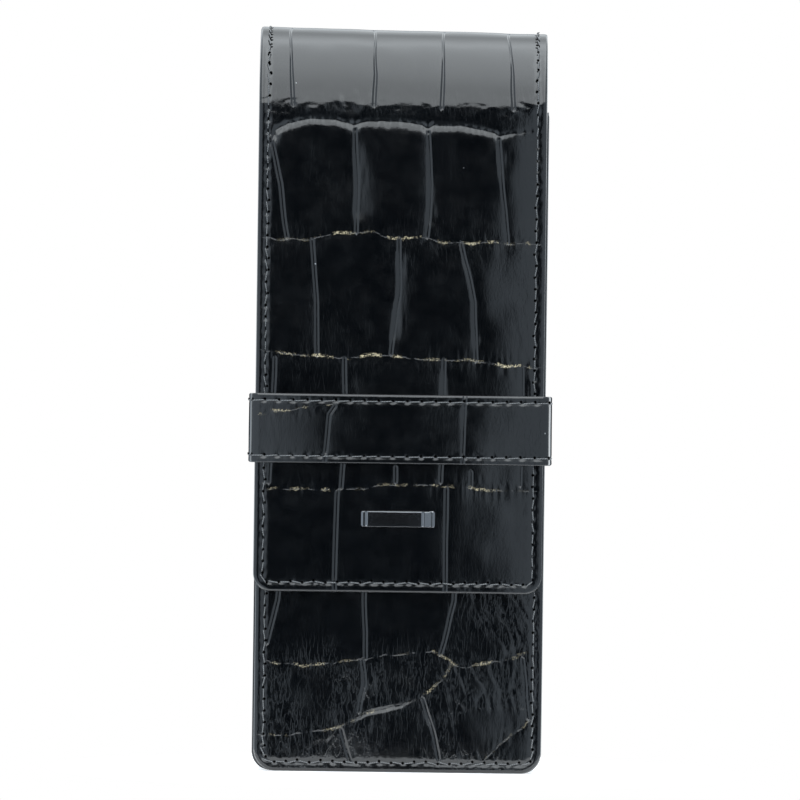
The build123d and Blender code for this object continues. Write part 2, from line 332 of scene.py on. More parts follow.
BAND_LOW, BAND_HIGH = extent("band_outer", 2)
BAND_HALF_X, BAND_HALF_Y = extent("band_outer", 0)[1], extent("band_outer", 1)[1]
BAND_HIDE = BAND_HALF_X - extent("band_lining", 0)[1]
BAND_CORNER = 2.4
BAND_FACE = BAND_HALF_X - BAND_CORNER
BAND_SIDE = 2 * (BAND_HALF_Y - BAND_CORNER)
BAND_TURN = BAND_CORNER * pi / 2
BAND_GAP = 0.3
BAND_REACH = 2 * BAND_FACE + 2 * BAND_TURN + BAND_SIDE


def band_place(t, v, lift):
    """The same on the band: t is how far round it the point is, from the middle of its front."""
    way, side = np.abs(t), np.where(t < 0, -1.0, 1.0)
    first = np.clip((way - BAND_FACE) / BAND_CORNER, 0, pi / 2)
    down_side = np.clip(way - BAND_FACE - BAND_TURN, 0, BAND_SIDE)
    second = np.clip((way - BAND_FACE - BAND_TURN - BAND_SIDE) / BAND_CORNER, 0, pi / 2)
    on_back = np.maximum(way - BAND_FACE - 2 * BAND_TURN - BAND_SIDE, 0)
    angle = first + second
    x = np.minimum(way, BAND_FACE) + (BAND_CORNER + lift) * np.sin(angle) - on_back
    y = -BAND_HALF_Y + BAND_CORNER + down_side - (BAND_CORNER + lift) * np.cos(angle)
    points = np.stack([side * x + BAND_ASIDE, y, v], -1)
    return points, np.stack([side * np.sin(angle), -np.cos(angle), 0 * x], -1)


# ---- Making meshes

def new_object(name, data):
    """A new object of the scene."""
    made = bpy.data.objects.new(name, data)
    bpy.context.collection.objects.link(made)
    return made


def store(mesh, name, values):
    """Stores one vector for each point of a mesh."""
    layer = mesh.attributes.new(name, "FLOAT_VECTOR", "POINT")
    layer.data.foreach_set("vector", np.asarray(values, np.float32).ravel())


def finished(name, points, faces, body=None, attributes=None, sharp=50):
    """A closed mesh object from points in millimetres, with its faces turned outwards."""
    mesh = bpy.data.meshes.new(name)
    mesh.from_pydata((np.asarray(points, float) * MM).tolist(), [], faces)
    for key, values in (attributes or {}).items():
        store(mesh, key, values)
    work = bmesh.new()
    work.from_mesh(mesh)
    bmesh.ops.recalc_face_normals(work, faces=work.faces)
    work.to_mesh(mesh)
    work.free()
    mesh.shade_smooth()
    mesh.set_sharp_from_angle(angle=radians(sharp))
    piece = new_object(name, mesh)
    if body:
        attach(piece, body)
    return piece


def outline_rows(bottom, top, corner, step):
    """Heights of the rows of a panel with rounded bottom corners, and the panel's half width at each."""
    arc = np.linspace(0, pi / 2, 15)
    rows = bottom + corner * (1 - np.cos(arc))
    halves = CASE_HALF - corner + corner * np.sin(arc)
    count = int(round((top - rows[-1]) / step))
    more = np.linspace(rows[-1], top, count + 1)[1:]
    return np.concatenate([rows, more]), np.concatenate([halves, np.full(len(more), CASE_HALF)])


# How an edge turns down, as shares of its rounding: outwards, and down
EDGE_TURN = ((0.42, 0.05), (0.66, 0.15), (0.97, 0.6), (1, 0.8))
LOW_EDGE = 0.12


def leather_sheet(name, rows, halves, columns, place, surface, thickness, edge, cut_top=False, ring=False,
                  inward=False):
    """A piece of leather: a dense face with relief, rounded edges, walls and an underside.
    rows and halves give the outline, place puts sheet points on the case, surface gives height and marks.
    cut_top leaves the last row square, where the next piece goes on; ring is for a strip bent into a loop;
    inward turns the face to the inside. thickness is a number, or a function of v."""
    low, high = rows[0] + edge, rows[-1] - (0 if cut_top else edge)
    heights = low + (rows - rows[0]) * (high - low) / (rows[-1] - rows[0])
    x = ((halves - edge)[:, None] * np.linspace(-1, 1, columns + 1)[None, :]).ravel()
    v = np.repeat(heights, columns + 1)
    height, marks = surface(x, v)
    sign = -1.0 if inward else 1.0
    n, c = len(rows), columns + 1
    grid = np.arange(n * c).reshape(n, c)
    loop = np.concatenate([grid[0], grid[1:, -1], grid[-1, -2::-1], grid[-2:0:-1, 0]])
    lx, lv, m = x[loop], v[loop], len(loop)
    tx, tv = np.roll(lx, -1) - np.roll(lx, 1), np.roll(lv, -1) - np.roll(lv, 1)
    length = np.hypot(tx, tv)
    ox, ov = tv / length, -tx / length
    if cut_top:
        ox[loop >= grid[-1, 0]] = 0
        ov[loop >= grid[-1, 0]] = 0
        for corner in (c + n - 2, c + n - 2 + columns):
            ox[corner] = np.sign(lx[corner])
    thick = thickness(lv) if callable(thickness) else thickness
    drops = [(edge * out, -edge * drop) for out, drop in EDGE_TURN]
    drops += [(edge, LOW_EDGE - thick), (edge - LOW_EDGE, -thick)]
    points = [place(x, v, sign * height)[0]]
    for out, drop in drops:
        keep = height[loop] * np.maximum(0.0, 1 + drop / thick)
        points.append(place(lx + ox * out, lv + ov * out, sign * (keep + drop))[0])
    faces = [np.stack([grid[:-1, :-1], grid[:-1, 1:], grid[1:, 1:], grid[1:, :-1]], -1).reshape(-1, 4)]
    levels = [loop] + [n * c + k * m + np.arange(m) for k in range(len(drops))]
    for upper, lower in zip(levels, levels[1:]):
        faces.append(np.stack([upper, np.roll(upper, -1), np.roll(lower, -1), lower], -1))
    faces = np.concatenate(faces).tolist()
    last = levels[-1].tolist()
    bottom, right, top = last[:c], last[columns:columns + n], last[columns + n - 1:2 * columns + n][::-1]
    left = last[:1] + last[:-n:-1]
    if ring:
        faces += [[bottom[k], bottom[k + 1], top[k + 1], top[k]] for k in range(1, columns - 1)]
        faces += [left + [top[1], bottom[1]], right[::-1] + [bottom[-2], top[-2]]]
    else:
        faces += [[left[r], right[r], right[r + 1], left[r + 1]] for r in range(1, n - 2)]
        faces += [bottom + [right[1], left[1]], top[::-1] + [left[-2], right[-2]]]
    full = {key: np.concatenate([values] + [values[loop]] * len(drops)) for key, values in marks.items()}
    rim = np.repeat([0] + [min(1.0, 0.25 * (k + 1)) for k in range(len(drops))], [n * c] + [m] * len(drops))
    full["rim"] = np.stack([rim] * 3, 1)
    return finished(name, np.concatenate(points), faces, attributes=full)


def swept(name, sections, loop=False, body=None, sharp=40):
    """A closed solid through matching cross-sections, each a closed ring of points."""
    sections = np.asarray(sections, float)
    index = np.arange(sections.size // 3).reshape(sections.shape[:2])
    ahead = np.roll(index, -1, 0) if loop else index[1:]
    here = index if loop else index[:-1]
    quads = np.stack([here, np.roll(here, -1, 1), np.roll(ahead, -1, 1), ahead], -1).reshape(-1, 4).tolist()
    if not loop:
        quads += [index[0][::-1].tolist(), index[-1].tolist()]
    return finished(name, sections.reshape(-1, 3), quads, body, sharp=sharp)


# ---- Node helpers

def feed(target, value):
    """Gives an input socket a link or a constant."""
    if isinstance(value, bpy.types.NodeSocket):
        target.id_data.links.new(value, target)
    else:
        target.default_value = value


def node(tree, kind, inputs=None, **settings):
    """A new node. inputs holds links and constants, by the names or numbers of their sockets."""
    made = tree.nodes.new(kind)
    for key, value in settings.items():
        setattr(made, key, value)
    for key, value in (inputs or {}).items():
        feed(made.inputs[key], value)
    return made


def flow(tree, kind, inputs=None, **settings):
    """The first output of a new node."""
    return node(tree, kind, inputs, **settings).outputs[0]


def maths(operation, *values, clamp=False):
    """A maths node over numbers and sockets, at least one of them a socket."""
    tree = next(value.id_data for value in values if isinstance(value, bpy.types.NodeSocket))
    return flow(tree, "ShaderNodeMath", dict(enumerate(values)), operation=operation, use_clamp=clamp)


def times(a, b, clamp=False):
    return maths("MULTIPLY", a, b, clamp=clamp)


def plus(a, b, clamp=False):
    return maths("ADD", a, b, clamp=clamp)


def times_plus(a, b, c, clamp=False):
    """a times b, plus c."""
    return maths("MULTIPLY_ADD", a, b, c, clamp=clamp)


def grade(value, low, high, start=0.0, end=1.0):
    """A smooth change from start to end as value goes from low to high."""
    return flow(value.id_data, "ShaderNodeMapRange", dict(enumerate((value, low, high, start, end))),
                interpolation_type="SMOOTHSTEP")


def mixed(factor, a, b):
    """Two colours mixed by factor."""
    made = node(factor.id_data, "ShaderNodeMix", {"Factor": factor, 6: a, 7: b}, data_type="RGBA")
    return made.outputs[2]


def scaled(vector, factors):
    return flow(vector.id_data, "ShaderNodeMapping", {"Vector": vector, "Scale": factors})


def cloud(vector, scale, detail=3.0, stretch=None):
    """Noise from 0 to 1 over a vector in millimetres."""
    if stretch:
        vector = scaled(vector, stretch)
    sizes = {"Vector": vector, "Scale": scale, "Detail": detail, "Roughness": 0.55}
    return node(vector.id_data, "ShaderNodeTexNoise", sizes).outputs["Fac"]


def read(tree, name):
    """A vector stored on the piece, and its three parts."""
    vector = node(tree, "ShaderNodeAttribute", attribute_name=name).outputs["Vector"]
    return vector, node(tree, "ShaderNodeSeparateXYZ", {0: vector}).outputs


def millimetres(tree):
    """Object coordinates in millimetres."""
    place = node(tree, "ShaderNodeTexCoord").outputs["Object"]
    return scaled(place, (1 / MM, 1 / MM, 1 / MM))


def group_of(name, kind, inputs, outputs):
    """An empty node group with the sockets given as name and type, and its two ends."""
    tree = bpy.data.node_groups.new(name, kind)
    for way, sockets in (("INPUT", inputs), ("OUTPUT", outputs)):
        for label, holds in sockets.items():
            tree.interface.new_socket(name=label, in_out=way, socket_type="NodeSocket" + holds)
    return tree, node(tree, "NodeGroupInput").outputs, node(tree, "NodeGroupOutput").inputs


def placed(place, group, **values):
    """A group node over a place, with its other inputs given by name, with _ for a space."""
    inputs = {key.replace("_", " "): value for key, value in values.items()}
    return node(place.id_data, "ShaderNodeGroup", {"Place": place, **inputs}, node_tree=group).outputs


def grain_group():
    """Pores and fine wrinkles of leather as a height in millimetres, and a mask of the raised parts."""
    tree, given, result = group_of(
        "leather_grain", "ShaderNodeTree",
        {"Place": "Vector", "Pore depth": "Float", "Pores per mm": "Float", "Wrinkle depth": "Float"},
        {"Height": "Float", "Mask": "Float"})
    cells = node(tree, "ShaderNodeTexVoronoi", {"Vector": given["Place"], "Scale": given["Pores per mm"]},
                 feature="DISTANCE_TO_EDGE")
    pebble = grade(cells.outputs["Distance"], 0.0, 0.22)
    wave = cloud(given["Place"], 0.55, 2.0, stretch=(1.9, 0.5, 1))
    fold = grade(maths("ABSOLUTE", maths("SUBTRACT", wave, 0.5)), 0.0, 0.05)
    pores = times(pebble, given["Pore depth"])
    feed(result["Height"], plus(pores, times(fold, given["Wrinkle depth"])))
    feed(result["Mask"], pebble)
    return tree


def dust_group():
    """Fine dust and handling marks as a mask from 0 to 1."""
    tree, given, result = group_of("handling_marks", "ShaderNodeTree", {"Place": "Vector", "Amount": "Float"},
                                   {"Mask": "Float"})
    smears = grade(cloud(given["Place"], 0.11, 4.0), 0.45, 0.75)
    spots = grade(cloud(given["Place"], 1.9, 1.0), 0.76, 0.84)
    both = maths("MAXIMUM", times(smears, 0.6), spots)
    feed(result["Mask"], times(both, given["Amount"], clamp=True))
    return tree


GRAIN = grain_group()
DUST = dust_group()


# ---- Materials

def material(name, roughness=0.5, metallic=0.0, coat=0.0, coat_roughness=0.1, sheen=0.0):
    """A material with one Principled shader, whose constants sit on its own sockets."""
    made = bpy.data.materials.new(name)
    made.use_nodes = True
    for label, value in (("Roughness", roughness), ("Metallic", metallic), ("Coat Weight", coat),
                         ("Coat Roughness", coat_roughness), ("Sheen Weight", sheen)):
        shader_inputs(made)[label].default_value = value
    return made


def shader_inputs(made):
    return made.node_tree.nodes["Principled BSDF"].inputs


def surfaced(made, colour, roughness, height, coat=False):
    """Feeds a material's shader: colour, roughness and relief, from a height in millimetres."""
    sockets = shader_inputs(made)
    feed(sockets["Base Color"], colour)
    feed(sockets["Roughness"], roughness)
    relief = flow(made.node_tree, "ShaderNodeBump", {"Strength": 1.0, "Distance": MM, "Height": height})
    feed(sockets["Normal"], relief)
    if coat:
        feed(sockets["Coat Normal"], relief)
    return made


def embossed_hide():
    """Glossy black hide pressed with scales: fine cracks with worn tan specks, and channels, sharper over
    the crown."""
    made = material("embossed_hide", coat=0.55, coat_roughness=0.05)
    sheet, (_, v, creased) = read(made.node_tree, "sheet")
    crack, crack_way, rubbed = read(made.node_tree, "crack")[1]
    groove, groove_way, press = read(made.node_tree, "groove")[1]
    rim = read(made.node_tree, "rim")[1][0]
    grain = placed(sheet, GRAIN, Pore_depth=0.0012, Pores_per_mm=1.5,
                   Wrinkle_depth=times_plus(creased, 0.007, 0.0006))
    dust = placed(sheet, DUST, Amount=0.5)["Mask"]

    shake = times_plus(cloud(sheet, 2.2), 0.5, -0.25)
    line = maths("ABSOLUTE", plus(crack, shake))
    close = grade(crack_way, 0.8, 0.5)
    slit = times(grade(line, 0.16, 0.0), close)
    slit = times(slit, grade(cloud(sheet, 0.5), 0.42, 0.62, 0.15, 1.0))
    patches = grade(cloud(sheet, 0.3), 0.47, 0.6)
    specks = times(grade(cloud(sheet, 3.2), 0.46, 0.56), patches)
    worn = times(grade(line, 0.42, 0.16), close)
    worn = times(times(worn, specks), rubbed, clamp=True)

    fluff = node(made.node_tree, "ShaderNodeTexVoronoi", {"Vector": sheet, "Scale": 0.085})
    fluff = grade(fluff.outputs["Distance"], 0.016, 0.010)
    face = mixed(dust, (0.0008, 0.0012, 0.0018, 1), (0.0022, 0.0032, 0.0042, 1))
    tan = mixed(cloud(sheet, 3.0), (0.26, 0.19, 0.09, 1), (0.80, 0.70, 0.46, 1))
    colour = mixed(worn, face, tan)
    colour = mixed(fluff, colour, (0.30, 0.31, 0.32, 1))
    colour = mixed(rim, colour, (0.011, 0.0115, 0.013, 1))

    rough = times_plus(cloud(sheet, 0.3), 0.12, 0.06)
    rough = times_plus(dust, 0.06, rough)
    rough = times_plus(worn, 0.4, rough)
    rough = times_plus(rim, 0.10, rough, clamp=True)

    crown = grade(v, 141.0, 144.0)
    gap = maths("MAXIMUM", maths("ABSOLUTE", groove), plus(groove_way, -0.17))
    gap = times(gap, grade(v, 146.0, 158.0, 1.0, 1.7))
    across = maths("POWER", grade(gap, 0.0, 0.58), times_plus(crown, -0.8, 2.1))
    channel = times(maths("SUBTRACT", 1.0, across), press)
    height = maths("SUBTRACT", grain["Height"], times(slit, 0.02))
    height = times_plus(channel, times_plus(crown, -0.04, -0.12), height)
    return surfaced(made, colour, rough, height, coat=True)


def plain_leather(name, dark, light, pores, depth, roughness=0.55, coat=0.0, stored=True):
    """Smooth or fine-grained leather without scales."""
    made = material(name, coat=coat, coat_roughness=0.25)
    place = read(made.node_tree, "sheet")[0] if stored else millimetres(made.node_tree)
    grain = placed(place, GRAIN, Pore_depth=depth, Pores_per_mm=pores, Wrinkle_depth=0.004)
    dust = placed(place, DUST, Amount=0.6)["Mask"]
    tone = times_plus(grain["Mask"], 0.35, times(cloud(place, 0.18, 4.0), 0.6), clamp=True)
    return surfaced(made, mixed(tone, dark, light), times_plus(dust, 0.15, roughness), grain["Height"])


def lining_cloth():
    """Plain woven black cloth."""
    made = material("lining_cloth", sheen=0.25)
    place = millimetres(made.node_tree)
    x, y, z = node(made.node_tree, "ShaderNodeSeparateXYZ", {0: place}).outputs
    turns_per_mm = 2 * pi / 0.5
    warp = maths("SINE", times(plus(x, y), turns_per_mm))
    weft = maths("SINE", times(z, turns_per_mm))
    weave = times(warp, weft)
    fuzz = cloud(place, 3.0)
    tone = times_plus(weave, 0.3, fuzz, clamp=True)
    colour = mixed(tone, (0.010, 0.010, 0.011, 1), (0.035, 0.035, 0.038, 1))
    return surfaced(made, colour, times_plus(fuzz, 0.2, 0.7), times(weave, 0.05))


def waxed_thread():
    """Twisted thread: the plies run slantwise round it, lighter on their raised crests as painted sheen, and
    the needle holes between stitches are flat black discs of painted shade with no reflection.
    """
    made = material("waxed_thread")
    along, around, hole_shade = read(made.node_tree, "ply_and_hole_shade")[1]
    twist = times_plus(around, 2 * pi * 2, times(along, 2 * pi * 5))
    ply_relief_and_sheen = times_plus(maths("SINE", twist), 0.5, 0.5)
    fuzz = cloud(millimetres(made.node_tree), 6.0, 2.0)
    tone = times(ply_relief_and_sheen, times_plus(fuzz, 0.8, 0.4), clamp=True)
    # The thread's grey, lighter on the plies' raised crests and darker between them: painted sheen and shade.
    thread = mixed(tone, (0.03, 0.031, 0.032, 1), (0.26, 0.265, 0.27, 1))
    # Black discs beside the stitches, with no reflection: painted shade for the needle holes.
    feed(shader_inputs(made)["Specular IOR Level"], times_plus(hole_shade, -0.5, 0.5, clamp=True))
    colour = mixed(hole_shade, thread, (0.0005, 0.0005, 0.0005, 1))
    return surfaced(made, colour, times_plus(fuzz, 0.25, 0.3), times(ply_relief_and_sheen, 0.05))


def streaked(name, streaks, dark, light, rough, depth, metallic=0.0, marks=0.0):
    """A hard material with streaks of noise, given as scale, detail and stretch. rough is how much they add
    to the roughness, and what they add it to. marks is how strongly handling shows in the colour."""
    made = material(name, metallic=metallic)
    place = millimetres(made.node_tree)
    streaks = cloud(place, *streaks)
    tone = placed(place, DUST, Amount=marks)["Mask"] if marks else streaks
    return surfaced(made, mixed(tone, dark, light), times_plus(streaks, *rough), times(streaks, depth))


HIDE_FINISH = embossed_hide()
LINING_FINISH = plain_leather("lining_leather", (0.008, 0.008, 0.0085, 1), (0.028, 0.027, 0.027, 1), 1.3,
                              0.02)
GUSSET_FINISH = plain_leather("gusset_leather", (0.006, 0.006, 0.007, 1), (0.017, 0.017, 0.019, 1), 2.2,
                              0.015, roughness=0.38, coat=0.2, stored=False)
DIVIDER_FINISH = plain_leather("divider_leather", (0.010, 0.010, 0.010, 1), (0.032, 0.031, 0.031, 1), 1.6,
                               0.018, stored=False)
CLOTH_FINISH = lining_cloth()
THREAD_FINISH = waxed_thread()
# Polished dark plating with faint rub marks, pressed leather fibre board, and brushed steel
PLATE_FINISH = streaked("dark_nickel", (2.0, 4.0, (0.5, 1, 6)), (0.21, 0.215, 0.225, 1),
                        (0.14, 0.14, 0.145, 1), (0.10, 0.06), 0.004, metallic=1.0, marks=0.8)
BOARD_FINISH = streaked("bonded_board", (2.5, 5.0, (1, 1, 0.4)), (0.16, 0.10, 0.055, 1),
                        (0.40, 0.29, 0.19, 1), (0.2, 0.7), 0.05)
BACKER_FINISH = streaked("plain_steel", (5.0, 3.0, (0.1, 1, 3)), (0.42, 0.42, 0.43, 1),
                         (0.58, 0.58, 0.58, 1), (0.2, 0.25), 0.01, metallic=1.0)


def dress(piece, finish, slot, *nodes):
    """Gives a piece its material and hides the CAD nodes it stands for; slot is not used."""
    piece.data.materials.clear()
    piece.data.materials.append(finish)
    if nodes:
        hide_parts(*nodes)
    return piece


# ---- Hides

FLAP_SEAM = u_path(FLAP_BOTTOM, CREST_V, FLAP_CORNER)
PANEL_SEAM = u_path(0, MOUTH_Z - 1.5, PANEL_CORNER)
BACK_SEAM = [(x, BACK_BOTTOM_V - v) for x, v in u_path(0, BACK_BOTTOM_V - CREST_V, PANEL_CORNER)]
MOUTH_SEAM = [(side * (CASE_HALF - 2 * SEAM_INSET), MOUTH_Z - SEAM_INSET) for side in (-1, 1)]
BAND_ENDS = BAND_REACH - BAND_GAP / 2
BAND_LOW_SEAM, BAND_HIGH_SEAM = ([(side * (BAND_ENDS - 0.6), v) for side in (-1, 1)]
                                 for v in (BAND_LOW + BAND_SEAM_INSET, BAND_HIGH - BAND_SEAM_INSET))
JOINT_INSET = 2.0
JOINT_LEFT, JOINT_RIGHT = ([(side * (BAND_REACH - JOINT_INSET), v) for v in (BAND_LOW + 2.4, BAND_HIGH - 2.4)]
                           for side in (-1, 1))
HOLE_DEPTH = 0.08
# The middle of the flap's turn below the crown, and how much lower the crown lies than the flap and the back
TURN_V = 143.5
CROWN_DIP = 0.17
CREST_TILT = 0.4
# Heights between which the bow of the flap's right side changes
BOW_V = [56, 66, 90, 112]
PANEL_SWELL = 0.48
BAND_SWELL = 0.42
RIM_DEPTH = 0.34


def wrap_fall(x, v):
    """How far the wrap falls away: at the flap's right side, and over the crest, which tilts to the right."""
    start = np.interp(v, BOW_V, [-2, 4, 8, 16])
    bow = np.interp(v, BOW_V, [0.8, 0.6, 0.6, 0.5]) * ramp(v, 144, 136)
    crest = ramp(v, 146, 158) * ramp(v, BACK_V + 8, BACK_V)
    return bow * np.clip((x - start) / (30 - start), 0, 1) ** 2.2 + CREST_TILT * crest * x / CASE_HALF


def panel_fall(x, v):
    """The same for the front panel, which also swells towards its lower edge."""
    return 0.3 * np.clip((x - 6) / 24, 0, 1) ** 2.4 - PANEL_SWELL * np.clip(1 - v / 24, 0, 1) ** 1.3


def band_fall(t, v):
    """The same for the band, whose face swells in the middle."""
    way = np.abs(t)
    swell = 0.9 * np.minimum(way / BAND_FACE, 1) ** 2.7 - BAND_SWELL
    return swell * ramp(way, BAND_FACE + BAND_TURN + 8, BAND_FACE)


def seam_depth(x, v, rows, low, high, half=CASE_HALF - SEAM_INSET):
    """Distance to the nearest of some stitch rows, negative outside the heights and half width given."""
    inner = (np.abs(x) < half) & (v > low) & (v < high)
    return np.abs(line_distance(x, v, rows)) * np.where(inner, 1, -1)


def flap_surface(x, v):
    seam = seam_depth(x, v, [FLAP_SEAM], FLAP_BOTTOM + SEAM_INSET, BACK_BOTTOM_V)
    bend = bump(v - TURN_V, 3.6)
    sides = ramp(np.abs(x), 22, 29) * bump(v - 152, 9)
    wrinkles = 0.05 + 0.25 * bend + 0.14 * ramp(noise(x, v, 14, 31), 0.1, 0.8)
    wear = 1 - 0.4 * ramp(v, 80, 66)
    height, marks = hide_relief("wrap", x, v, seam, wrinkles, bend + 0.8 * sides, wear)
    height -= CROWN_DIP * ramp(v, 142.3, 146.3) + 0.022 * bend * noise(x * 0.7, v * 1.4, 1.1, 30)
    height -= 0.06 * bend * noise(x * 0.9, v * 0.6, 3.4, 39)
    height += 0.06 * noise(x, v, 6, 32) * ramp(v, 154, 158)
    return height - wrap_fall(x, v) - hole_dips(x, v, [FLAP_SEAM], SEAM_PITCH), marks


def back_surface(x, v):
    seam = seam_depth(x, v, [BACK_SEAM], 0, BACK_BOTTOM_V - SEAM_INSET)
    wrinkles = 0.12 + 0.4 * bump(v - BACK_V, 5) + 0.5 * ramp(noise(x, v, 16, 33), 0.1, 0.9)
    height, marks = hide_relief("wrap", x, v, seam, wrinkles, wear=0.6)
    height -= CROWN_DIP * ramp(v, BACK_V + 14, CREST_V + 2)
    height += 0.06 * noise(x, v, 6, 32) * ramp(v, BACK_V + 9, CREST_V)
    return height - wrap_fall(x, v) - hole_dips(x, v, [BACK_SEAM], SEAM_PITCH), marks


def panel_surface(x, v):
    seam = seam_depth(x, v, [PANEL_SEAM], SEAM_INSET, MOUTH_Z - SEAM_INSET)
    folds = ramp(noise(x, v, 9, 35), -0.5, 0.5)
    wrinkles = 0.08 + (0.6 + 0.3 * ramp(x, 0, -10)) * folds * ramp(v, 31, 22)
    wrinkles = np.clip(wrinkles + 0.9 * folds * ramp(x, 8, 18), 0, 1)
    height, marks = hide_relief("panel", x, v, seam, wrinkles, wear=0.45)
    height -= 0.12 * bump(marks["crack"][:, 0], 0.32) * bump(x + 3, 6) * ramp(v, 21, 18)
    return height - panel_fall(x, v) - hole_dips(x, v, [PANEL_SEAM, MOUTH_SEAM], SEAM_PITCH), marks


def band_surface(t, v):
    seam = seam_depth(t, v, [BAND_LOW_SEAM, BAND_HIGH_SEAM], BAND_LOW_SEAM[0][1], BAND_HIGH_SEAM[0][1],
                      BAND_REACH)
    wrinkles = 0.05 + 0.25 * bump(np.abs(t) - BAND_FACE, 6)
    height, marks = hide_relief("band", t, v, seam, wrinkles)
    dips = hole_dips(t, v, [BAND_LOW_SEAM, BAND_HIGH_SEAM, JOINT_LEFT, JOINT_RIGHT], BAND_PITCH)
    return 0.8 * height - band_fall(t, v) - dips, marks


def from_below(function):
    """The same for the back, with v measured up from the bottom of the back."""
    return lambda x, up, *more: function(x, BACK_BOTTOM_V - up, *more)


def outlines(flap_step, back_step, front_step):
    """Rows and half widths of crown and flap, of the back, and of the front panel."""
    return (outline_rows(FLAP_BOTTOM, CREST_V, FLAP_CORNER, flap_step),
            outline_rows(0, BACK_BOTTOM_V - CREST_V, PANEL_CORNER, back_step),
            outline_rows(0, MOUTH_Z, PANEL_CORNER, front_step))


def make_hides():
    def hide(name, outline, place, surface, cut_top, *nodes):
        piece = leather_sheet(name, *outline, int(2 * CASE_HALF / RELIEF_STEP), place, surface, HIDE,
                              EDGE_ROUND, cut_top=cut_top)
        return dress(piece, HIDE_FINISH, "outer_leather", *nodes)

    flap, back, front = outlines(RELIEF_STEP, 0.42, 0.36)
    flap = hide("flap_hide", flap, wrap_place, flap_surface, True, "flap_outer", "crown_outer")
    back = hide("back_hide", back, from_below(wrap_place), from_below(back_surface), True, "back_outer")
    front = hide("front_hide", front, front_place, panel_surface, False, "front_outer")
    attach(front, "pouch")
    rows = np.linspace(BAND_LOW, BAND_HIGH, int((BAND_HIGH - BAND_LOW) / 0.3))
    band = leather_sheet("band_hide", rows, np.full(len(rows), BAND_ENDS), int(2 * BAND_ENDS / 0.36),
                         band_place, band_surface, BAND_HIDE, 0.45, ring=True)
    dress(band, HIDE_FINISH, "outer_leather", "band_outer")
    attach(band, "band")
    return flap, back


# ---- Linings

# How far the visible side of the wrap's lining lies under the hide: where it bends, on the flap, on the back
LINING_BENT, LINING_FLAP, LINING_BACK = 0.6, 1.0, 1.4
LINING_NARROWER = 0.06
LINING_EDGE = 0.25


def lining_depth(v):
    """How deep under the wrap's outer surface its lining's visible side lies, in millimetres."""
    on_flap = ramp(v, CROWN_Z + 1, CROWN_Z - 3)
    on_back = ramp(v, BACK_V - 1, BACK_V + 3)
    more = (LINING_FLAP - LINING_BENT) * on_flap + (LINING_BACK - LINING_BENT) * on_back
    return HIDE + LINING_BENT + more


def lining_surface(x, v):
    height = 0.05 * noise(x, v, 11, 41) + 0.03 * noise(x, v, 4, 42)
    return height, {"sheet": np.stack([x, v, 0 * x], 1)}


def make_linings():
    def wrap_lining(x, v, lift):
        return wrap_place(x, v, lift - lining_depth(v))

    def front_lining(x, v, lift):
        return front_place(x, v, lift - (POCKET_FRONT - PANEL_Y))

    def lining(name, outline, place, thickness, cut_top, *nodes):
        rows, halves = outline
        piece = leather_sheet(name, rows, halves - LINING_NARROWER, int(2 * CASE_HALF / PLAIN_STEP), place,
                              lining_surface, thickness, LINING_EDGE, cut_top=cut_top, inward=True)
        return dress(piece, LINING_FINISH, "lining_leather", *nodes)

    flap, back, front = outlines(PLAIN_STEP, PLAIN_STEP, PLAIN_STEP)
    flap = lining("flap_lining_leather", flap, wrap_lining, lambda v: lining_depth(v) - HIDE, True,
                  "flap_lining", "crown_lining")
    back = lining("back_lining_leather", back, from_below(wrap_lining),
                  lambda up: lining_depth(BACK_BOTTOM_V - up) - HIDE, True, "back_lining")
    front = lining("front_lining_leather", front, front_lining, POCKET_FRONT - PANEL_INNER_Y, False,
                   "front_lining")
    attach(front, "pouch")
    profile = [(0.25, BAND_LOW), (0.5, BAND_LOW + 0.2), (0.5, BAND_HIGH - 0.2), (0.25, BAND_HIGH),
               (0, BAND_HIGH), (0, BAND_LOW)]
    sections = [[band_place(np.array(t), np.array(v), -BAND_HIDE - down)[0] for down, v in profile]
                for t in np.linspace(-BAND_REACH, BAND_REACH, 241)[:-1]]
    band = swept("band_lining_leather", sections, loop=True, body="band")
    dress(band, GUSSET_FINISH, "lining_leather", "band_lining")
    return flap, back


# ---- Gusset and dividers

WALL_INSET = 3.4
GUSSET = 0.8
CLOTH = 0.5
WALL_BOW = 0.9


def u_stations(inset, corner, top):
    """Matching points (x, z) round the pocket's U for one inset: down the left, along the bottom, up the
    right."""
    half, low = CASE_HALF - inset, inset
    left = [(-half, z) for z in np.linspace(top, low + corner, 40)[:-1]]
    left += [(-half + corner * (1 - cos(a)), low + corner * (1 - sin(a))) for a in np.linspace(0, pi / 2, 10)]
    left += [(x, low) for x in np.linspace(-half + corner, 0, 9)[1:]]
    return left + [(-x, z) for x, z in reversed(left[:-1])]


def u_sweep(name, profile, top):
    """A strip that runs round the pocket. profile gives (inset, corner radius, y) for each point of its
    section."""
    runs = [[(x, y, z) for x, z in u_stations(inset, corner, top)] for inset, corner, y in profile]
    return swept(name, np.swapaxes(runs, 0, 1), body="pouch")


